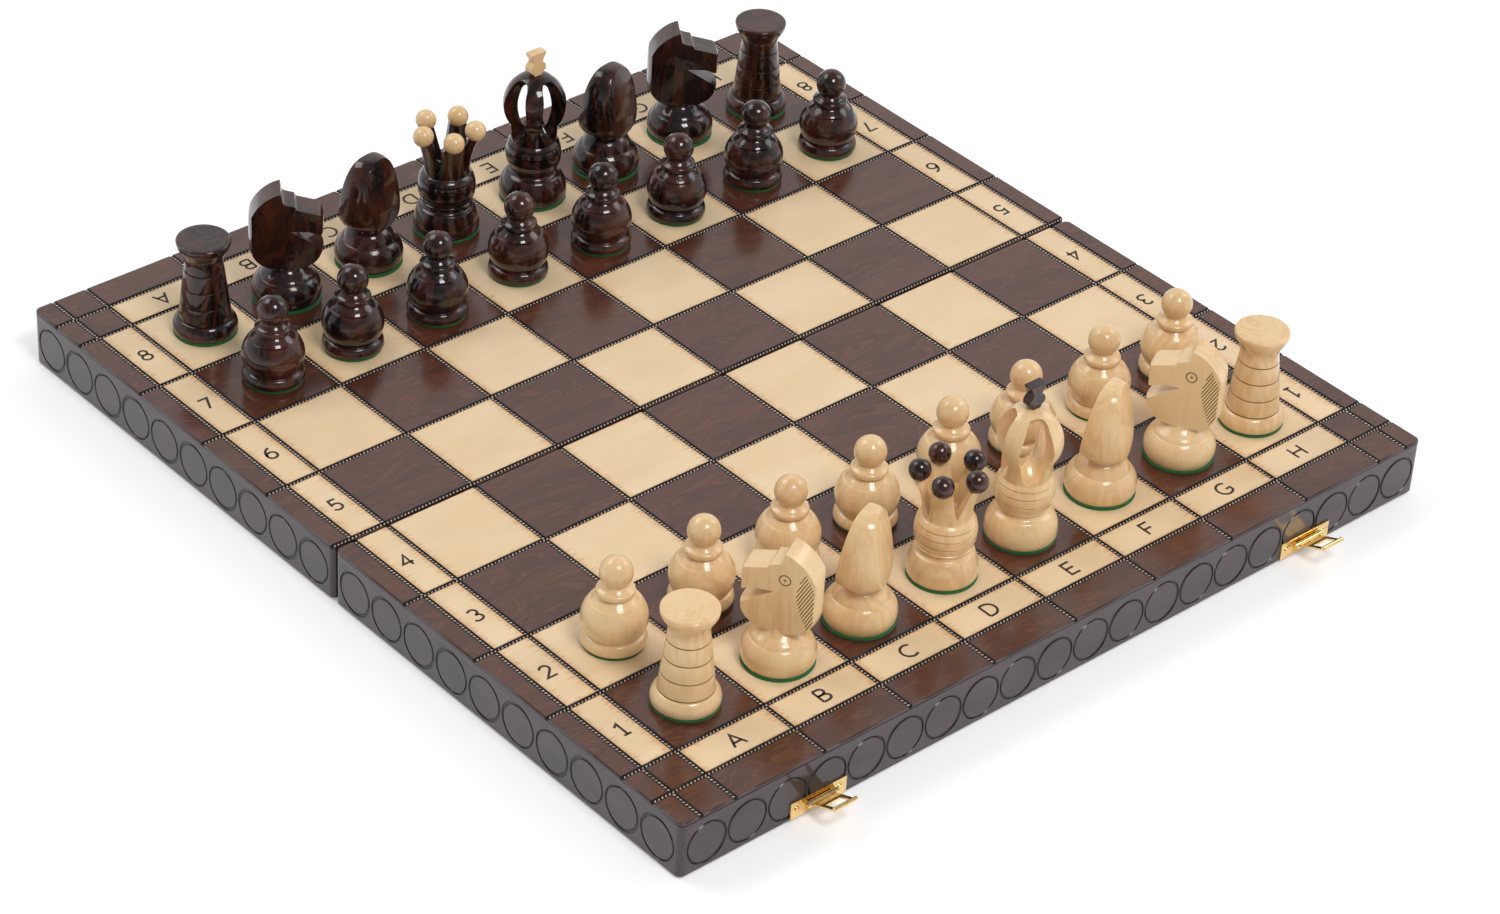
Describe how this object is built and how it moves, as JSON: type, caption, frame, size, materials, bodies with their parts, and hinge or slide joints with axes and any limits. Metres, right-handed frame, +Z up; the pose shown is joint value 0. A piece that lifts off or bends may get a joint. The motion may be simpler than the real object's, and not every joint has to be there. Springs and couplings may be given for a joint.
{
  "type": "chess set with folding board",
  "caption": "Folding wooden chess board, hinged across the middle with brass front latches, set out with turned and carved light and dark wooden pieces.",
  "frame": {"origin": "middle of the fold line on the board's underside", "axes": "+X along the lettered files from a to h, +Y along the numbered ranks from 1 to 8 with the latches at -Y, +Z up"},
  "size_m": [0.43, 0.4706, 0.1061],
  "materials": {
    "case_panel": "lacquered, light and dark squares",
    "case_side": "glossy dark stain",
    "brass": "worn polished",
    "light_wood": "glossy lacquer",
    "dark_wood": "glossy lacquer",
    "felt": "short pile"
  },
  "bodies": {
    "front_half": {"front_panel": "case_panel", "front_rail_left": "case_side", "front_rail_right": "case_side", "front_rail_outer": "case_side", "front_rail_fold": "case_side", "hinge_leaves_front": "brass", "hinge_pins": "brass", "hinge_screws_front": "brass", "latch_plate_left": "brass", "latch_plate_right": "brass", "latch_pins": "brass", "latch_nails": "brass"},
    "rear_half": {"rear_panel": "case_panel", "rear_rail_left": "case_side", "rear_rail_right": "case_side", "rear_rail_outer": "case_side", "rear_rail_fold": "case_side", "hinge_leaves_rear": "brass", "hinge_screws_rear": "brass", "catch_plates": "brass", "catch_nails": "brass"},
    "latch_left": {"latch_tongue_left": "brass"},
    "latch_right": {"latch_tongue_right": "brass"},
    "white_rook_a_piece": {"white_rook_a": "light_wood"},
    "white_knight_b_piece": {"white_knight_b": "light_wood"},
    "white_bishop_c_piece": {"white_bishop_c": "light_wood"},
    "white_queen_piece": {"white_queen": "light_wood", "white_queen_balls": "dark_wood"},
    "white_king_piece": {"white_king": "light_wood", "white_king_finial": "dark_wood"},
    "white_bishop_f_piece": {"white_bishop_f": "light_wood"},
    "white_knight_g_piece": {"white_knight_g": "light_wood"},
    "white_rook_h_piece": {"white_rook_h": "light_wood"},
    "white_pawn_a_piece": {"white_pawn_a": "light_wood"},
    "white_pawn_b_piece": {"white_pawn_b": "light_wood"},
    "white_pawn_c_piece": {"white_pawn_c": "light_wood"},
    "white_pawn_d_piece": {"white_pawn_d": "light_wood"},
    "white_pawn_e_piece": {"white_pawn_e": "light_wood"},
    "white_pawn_f_piece": {"white_pawn_f": "light_wood"},
    "white_pawn_g_piece": {"white_pawn_g": "light_wood"},
    "white_pawn_h_piece": {"white_pawn_h": "light_wood"},
    "black_rook_a_piece": {"black_rook_a": "dark_wood"},
    "black_knight_b_piece": {"black_knight_b": "dark_wood"},
    "black_bishop_c_piece": {"black_bishop_c": "dark_wood"},
    "black_queen_piece": {"black_queen": "dark_wood", "black_queen_balls": "light_wood"},
    "black_king_piece": {"black_king": "dark_wood", "black_king_finial": "light_wood"},
    "black_bishop_f_piece": {"black_bishop_f": "dark_wood"},
    "black_knight_g_piece": {"black_knight_g": "dark_wood"},
    "black_rook_h_piece": {"black_rook_h": "dark_wood"},
    "black_pawn_a_piece": {"black_pawn_a": "dark_wood"},
    "black_pawn_b_piece": {"black_pawn_b": "dark_wood"},
    "black_pawn_c_piece": {"black_pawn_c": "dark_wood"},
    "black_pawn_d_piece": {"black_pawn_d": "dark_wood"},
    "black_pawn_e_piece": {"black_pawn_e": "dark_wood"},
    "black_pawn_f_piece": {"black_pawn_f": "dark_wood"},
    "black_pawn_g_piece": {"black_pawn_g": "dark_wood"},
    "black_pawn_h_piece": {"black_pawn_h": "dark_wood"}
  },
  "joints": [
    {"name": "fold", "type": "hinge", "parent": "front_half", "child": "rear_half", "pos_m": [0, 0, 0], "axis": [-1, 0, 0], "range_deg": [0, 180]},
    {"name": "latch_left_turn", "type": "hinge", "parent": "front_half", "child": "latch_left", "pos_m": [-0.1425, -0.2275, 0.0056], "axis": [1, 0, 0], "range_deg": [-60, 112]},
    {"name": "latch_right_turn", "type": "hinge", "parent": "front_half", "child": "latch_right", "pos_m": [0.1425, -0.2275, 0.0056], "axis": [1, 0, 0], "range_deg": [-60, 112]},
    {"name": "white_rook_a_lift", "type": "slide", "parent": "front_half", "child": "white_rook_a_piece", "axis": [0, 0, 1], "range_m": [0, 0.12]},
    {"name": "white_knight_b_lift", "type": "slide", "parent": "front_half", "child": "white_knight_b_piece", "axis": [0, 0, 1], "range_m": [0, 0.12]},
    {"name": "white_bishop_c_lift", "type": "slide", "parent": "front_half", "child": "white_bishop_c_piece", "axis": [0, 0, 1], "range_m": [0, 0.12]},
    {"name": "white_queen_lift", "type": "slide", "parent": "front_half", "child": "white_queen_piece", "axis": [0, 0, 1], "range_m": [0, 0.12]},
    {"name": "white_king_lift", "type": "slide", "parent": "front_half", "child": "white_king_piece", "axis": [0, 0, 1], "range_m": [0, 0.12]},
    {"name": "white_bishop_f_lift", "type": "slide", "parent": "front_half", "child": "white_bishop_f_piece", "axis": [0, 0, 1], "range_m": [0, 0.12]},
    {"name": "white_knight_g_lift", "type": "slide", "parent": "front_half", "child": "white_knight_g_piece", "axis": [0, 0, 1], "range_m": [0, 0.12]},
    {"name": "white_rook_h_lift", "type": "slide", "parent": "front_half", "child": "white_rook_h_piece", "axis": [0, 0, 1], "range_m": [0, 0.12]},
    {"name": "white_pawn_a_lift", "type": "slide", "parent": "front_half", "child": "white_pawn_a_piece", "axis": [0, 0, 1], "range_m": [0, 0.12]},
    {"name": "white_pawn_b_lift", "type": "slide", "parent": "front_half", "child": "white_pawn_b_piece", "axis": [0, 0, 1], "range_m": [0, 0.12]},
    {"name": "white_pawn_c_lift", "type": "slide", "parent": "front_half", "child": "white_pawn_c_piece", "axis": [0, 0, 1], "range_m": [0, 0.12]},
    {"name": "white_pawn_d_lift", "type": "slide", "parent": "front_half", "child": "white_pawn_d_piece", "axis": [0, 0, 1], "range_m": [0, 0.12]},
    {"name": "white_pawn_e_lift", "type": "slide", "parent": "front_half", "child": "white_pawn_e_piece", "axis": [0, 0, 1], "range_m": [0, 0.12]},
    {"name": "white_pawn_f_lift", "type": "slide", "parent": "front_half", "child": "white_pawn_f_piece", "axis": [0, 0, 1], "range_m": [0, 0.12]},
    {"name": "white_pawn_g_lift", "type": "slide", "parent": "front_half", "child": "white_pawn_g_piece", "axis": [0, 0, 1], "range_m": [0, 0.12]},
    {"name": "white_pawn_h_lift", "type": "slide", "parent": "front_half", "child": "white_pawn_h_piece", "axis": [0, 0, 1], "range_m": [0, 0.12]},
    {"name": "black_rook_a_lift", "type": "slide", "parent": "rear_half", "child": "black_rook_a_piece", "axis": [0, 0, 1], "range_m": [0, 0.12]},
    {"name": "black_knight_b_lift", "type": "slide", "parent": "rear_half", "child": "black_knight_b_piece", "axis": [0, 0, 1], "range_m": [0, 0.12]},
    {"name": "black_bishop_c_lift", "type": "slide", "parent": "rear_half", "child": "black_bishop_c_piece", "axis": [0, 0, 1], "range_m": [0, 0.12]},
    {"name": "black_queen_lift", "type": "slide", "parent": "rear_half", "child": "black_queen_piece", "axis": [0, 0, 1], "range_m": [0, 0.12]},
    {"name": "black_king_lift", "type": "slide", "parent": "rear_half", "child": "black_king_piece", "axis": [0, 0, 1], "range_m": [0, 0.12]},
    {"name": "black_bishop_f_lift", "type": "slide", "parent": "rear_half", "child": "black_bishop_f_piece", "axis": [0, 0, 1], "range_m": [0, 0.12]},
    {"name": "black_knight_g_lift", "type": "slide", "parent": "rear_half", "child": "black_knight_g_piece", "axis": [0, 0, 1], "range_m": [0, 0.12]},
    {"name": "black_rook_h_lift", "type": "slide", "parent": "rear_half", "child": "black_rook_h_piece", "axis": [0, 0, 1], "range_m": [0, 0.12]},
    {"name": "black_pawn_a_lift", "type": "slide", "parent": "rear_half", "child": "black_pawn_a_piece", "axis": [0, 0, 1], "range_m": [0, 0.12]},
    {"name": "black_pawn_b_lift", "type": "slide", "parent": "rear_half", "child": "black_pawn_b_piece", "axis": [0, 0, 1], "range_m": [0, 0.12]},
    {"name": "black_pawn_c_lift", "type": "slide", "parent": "rear_half", "child": "black_pawn_c_piece", "axis": [0, 0, 1], "range_m": [0, 0.12]},
    {"name": "black_pawn_d_lift", "type": "slide", "parent": "rear_half", "child": "black_pawn_d_piece", "axis": [0, 0, 1], "range_m": [0, 0.12]},
    {"name": "black_pawn_e_lift", "type": "slide", "parent": "rear_half", "child": "black_pawn_e_piece", "axis": [0, 0, 1], "range_m": [0, 0.12]},
    {"name": "black_pawn_f_lift", "type": "slide", "parent": "rear_half", "child": "black_pawn_f_piece", "axis": [0, 0, 1], "range_m": [0, 0.12]},
    {"name": "black_pawn_g_lift", "type": "slide", "parent": "rear_half", "child": "black_pawn_g_piece", "axis": [0, 0, 1], "range_m": [0, 0.12]},
    {"name": "black_pawn_h_lift", "type": "slide", "parent": "rear_half", "child": "black_pawn_h_piece", "axis": [0, 0, 1], "range_m": [0, 0.12]}
  ]
}
